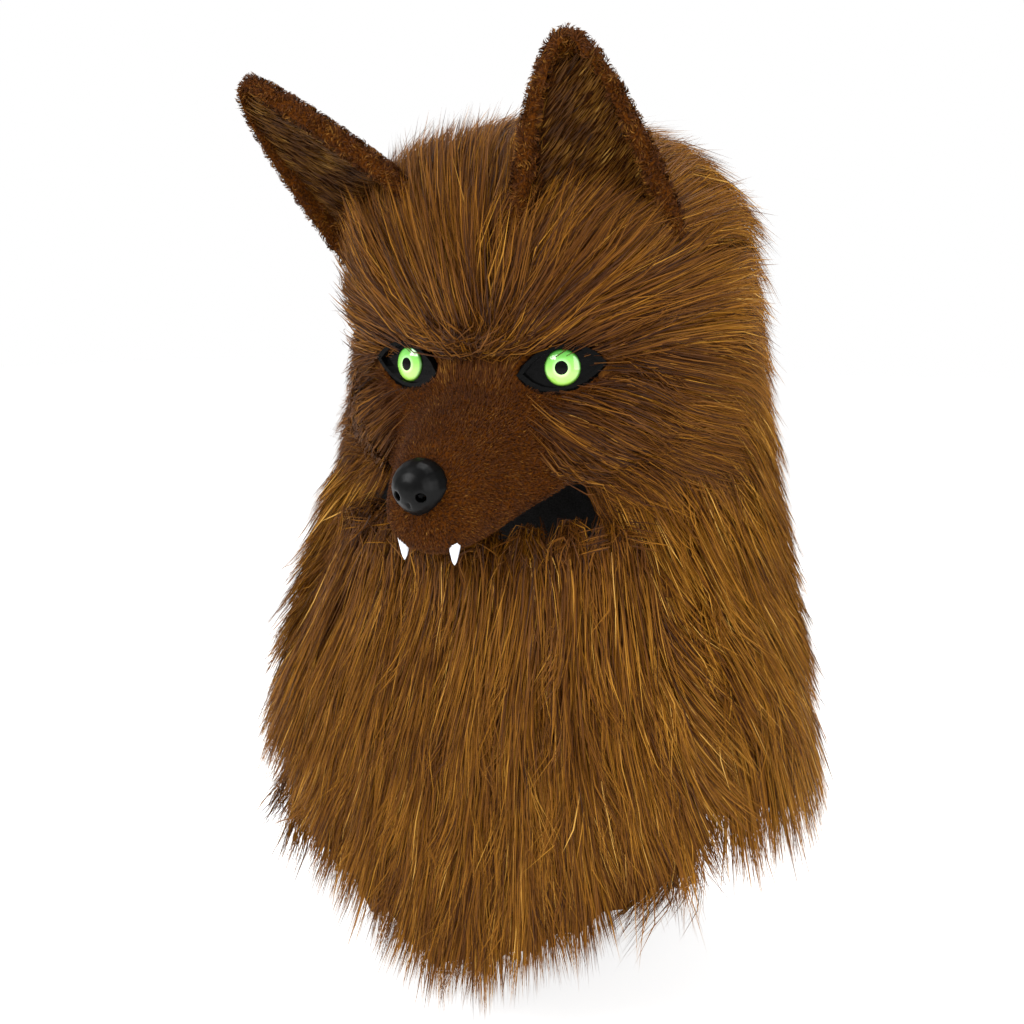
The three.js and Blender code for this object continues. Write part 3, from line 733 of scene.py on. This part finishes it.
def iris_material():
    made, tree, surface = shader("iris_print_painted_shadow", (0.3, 0.8, 0.1), 0.12, coat=1.0, coat_roughness=0.03)
    place = node(tree, "ShaderNodeTexCoord")
    split = node(tree, "ShaderNodeSeparateXYZ")
    tree.links.new(place.outputs["Object"], split.inputs["Vector"])
    flat = node(tree, "ShaderNodeVectorMath", operation="MULTIPLY")
    flat.inputs[1].default_value = (1 / IRIS_RADIUS, 1 / IRIS_RADIUS, 0)
    tree.links.new(place.outputs["Object"], flat.inputs[0])
    reach = node(tree, "ShaderNodeVectorMath", operation="LENGTH")
    tree.links.new(flat.outputs["Vector"], reach.inputs[0])
    height = node(tree, "ShaderNodeMapRange")
    height.inputs["From Min"].default_value = -IRIS_RADIUS
    height.inputs["From Max"].default_value = IRIS_RADIUS
    tree.links.new(split.outputs["Y"], height.inputs["Value"])
    # Painted shadow: the green darkens from the bottom of the disc to its top.
    body = ramp(tree, height.outputs["Result"], [
        (0.0, (0.46, 0.80, 0.12)), (0.5, (0.30, 0.74, 0.12)), (1.0, (0.10, 0.46, 0.07))])
    edge = ramp(tree, reach.outputs["Value"], [
        (0.42, (1.6, 1.25, 2.6)), (0.56, (1.0, 1.0, 1.0)), (0.86, (1.0, 1.0, 1.0)),
        (0.97, (0.20, 0.30, 0.15))])
    both = node(tree, "ShaderNodeMix", data_type="RGBA", blend_type="MULTIPLY")
    both.inputs["Factor"].default_value = 1.0
    tree.links.new(body, both.inputs["A"])
    tree.links.new(edge, both.inputs["B"])
    tree.links.new(both.outputs["Result"], surface.inputs["Base Color"])
    return made


def rounded_edges(part, width):
    bevel = part.modifiers.new("edges", "BEVEL")
    bevel.width = width
    bevel.segments = 3
    bevel.limit_method = "ANGLE"
    part.data.shade_smooth()


socket_black = glossy_black("socket_black", 0.16, 260.0)
iris_print_painted_shadow = iris_material()
for side, sign in (("left", 1), ("right", -1)):
    dress(nodes[f"eye_socket_{side}"], socket_black)
    rounded_edges(nodes[f"eye_socket_{side}"], SOCKET_EDGE)
    low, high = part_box(f"iris_{side}")
    facing = Vector((sign * math.sin(EYE_SPLAY), -math.cos(EYE_SPLAY), 0))
    turn = Matrix.Rotation(sign * EYE_SPLAY, 4, "Z") @ Matrix.Rotation(math.pi / 2, 4, "X")
    depth = DISC + DOME
    centre = (Vector(low) + Vector(high)) / 2 - facing * depth / 2
    for name, inner, outer, material, slot in (
            (f"iris_dome_{side}", PUPIL_RADIUS, IRIS_RADIUS, iris_print_painted_shadow, "iris_green"),
            (f"pupil_dome_{side}", 0.0001, PUPIL_RADIUS, socket_black, "eye_black")):
        made = dome(name, inner, outer)
        made.matrix_world = Matrix.Translation(centre) @ turn
        place_piece(made, material, slot, name.replace("_dome", ""))

# The nose: one satin black moulding with two nostrils, glued to the tip of the snout. The fangs are
# glossy white mouldings glued up under the lip.
NOSE_GRAIN, NOSE_RELIEF = 1400.0, 0.0003
NOSE_VOXEL, FANG_VOXEL = 0.0008, 0.0006
TOOTH_SHADES = [(0.3, (0.74, 0.76, 0.84)), (0.7, (0.84, 0.86, 0.90))]

nose_black, tree, surface = shader("nose_satin", (0.002, 0.002, 0.002), 0.34, specular=0.10)
place = node(tree, "ShaderNodeTexCoord")
grain = node(tree, "ShaderNodeTexNoise", Scale=NOSE_GRAIN, Detail=2.0)
tree.links.new(place.outputs["Object"], grain.inputs["Vector"])
bumpy(tree, surface, grain.outputs["Fac"], 0.12, NOSE_RELIEF)
nose = smooth_copy(nodes["nose"], "nose_pad", voxel=NOSE_VOXEL, rounds=10)
place_piece(nose, nose_black, "nose_black", "nose")

tooth_white, tree, surface = shader("tooth_white", (0.80, 0.82, 0.88), 0.12, coat=0.5, coat_roughness=0.05)
place = node(tree, "ShaderNodeTexCoord")
shade = node(tree, "ShaderNodeTexNoise", Scale=120.0, Detail=2.0)
tree.links.new(place.outputs["Object"], shade.inputs["Vector"])
tree.links.new(ramp(tree, shade.outputs["Fac"], TOOTH_SHADES), surface.inputs["Base Color"])
for side in ("left", "right"):
    made = smooth_copy(nodes[f"fang_{side}"], f"fang_smooth_{side}", voxel=FANG_VOXEL, rounds=4)
    place_piece(made, tooth_white, "fang_white", f"fang_{side}")

# The studio: a pale floor under the mask, white all round, soft lights from the front and above. The
# camera stands where the photo's did, as solved from the eyes, the nose, the ears and the outline.
FLOOR = cad_box[0][2] - 0.03
AIM = Vector((0, -0.036, -0.215))
DISTANCE = 0.80
AZIMUTH, ELEVATION = math.radians(30), math.radians(9)
LENS = 44.6
SKY_LIGHT = 0.45
FLOOR_GLOW = 0.62
LIGHTS = [
    {"name": "key", "at": (-0.9, -1.3, 0.9), "size": 1.0, "power": 30},
    {"name": "fill", "at": (1.3, -0.9, 0.2), "size": 1.2, "power": 18},
    {"name": "top", "at": (0.1, 0.3, 1.5), "size": 1.0, "power": 26},
]

data = bpy.data.meshes.new("floor")
around = [(-8, -8), (8, -8), (8, 8), (-8, 8)]
data.from_pydata([(x, y, FLOOR) for x, y in around], [], [(0, 1, 2, 3)])
floor = bpy.data.objects.new("floor", data)
bpy.context.scene.collection.objects.link(floor)
pale, tree, surface = shader("pale_floor", (0.86, 0.86, 0.86), 0.8, specular=0.1)
surface.inputs["Emission Color"].default_value = (1, 1, 1, 1)
surface.inputs["Emission Strength"].default_value = FLOOR_GLOW
dress(floor, pale)
for light in LIGHTS:
    lamp = bpy.data.lights.new(light["name"], "AREA")
    lamp.size = light["size"]
    lamp.energy = light["power"]
    holder = bpy.data.objects.new(light["name"], lamp)
    bpy.context.scene.collection.objects.link(holder)
    holder.location = light["at"]
    holder.rotation_euler = (AIM - Vector(light["at"])).to_track_quat("-Z", "Y").to_euler()
world = bpy.data.worlds.new("white")
bpy.context.scene.world = world
world.use_nodes = True
sky = world.node_tree.nodes["Background"]
sky.inputs["Color"].default_value = (1, 1, 1, 1)
seen = node(world.node_tree, "ShaderNodeLightPath")
power = node(world.node_tree, "ShaderNodeMapRange")
power.inputs["To Min"].default_value = SKY_LIGHT
power.inputs["To Max"].default_value = 1.0
world.node_tree.links.new(seen.outputs["Is Camera Ray"], power.inputs["Value"])
world.node_tree.links.new(power.outputs["Result"], sky.inputs["Strength"])
bpy.context.scene.view_settings.view_transform = "Standard"
camera = bpy.data.objects.new("camera", bpy.data.cameras.new("camera"))
bpy.context.scene.collection.objects.link(camera)
bpy.context.scene.camera = camera
level = math.cos(ELEVATION)
back = Vector((math.sin(AZIMUTH) * level, -math.cos(AZIMUTH) * level, math.sin(ELEVATION)))
camera.location = AIM + back * DISTANCE
camera.rotation_euler = (-back).to_track_quat("-Z", "Y").to_euler()
camera.data.lens = LENS
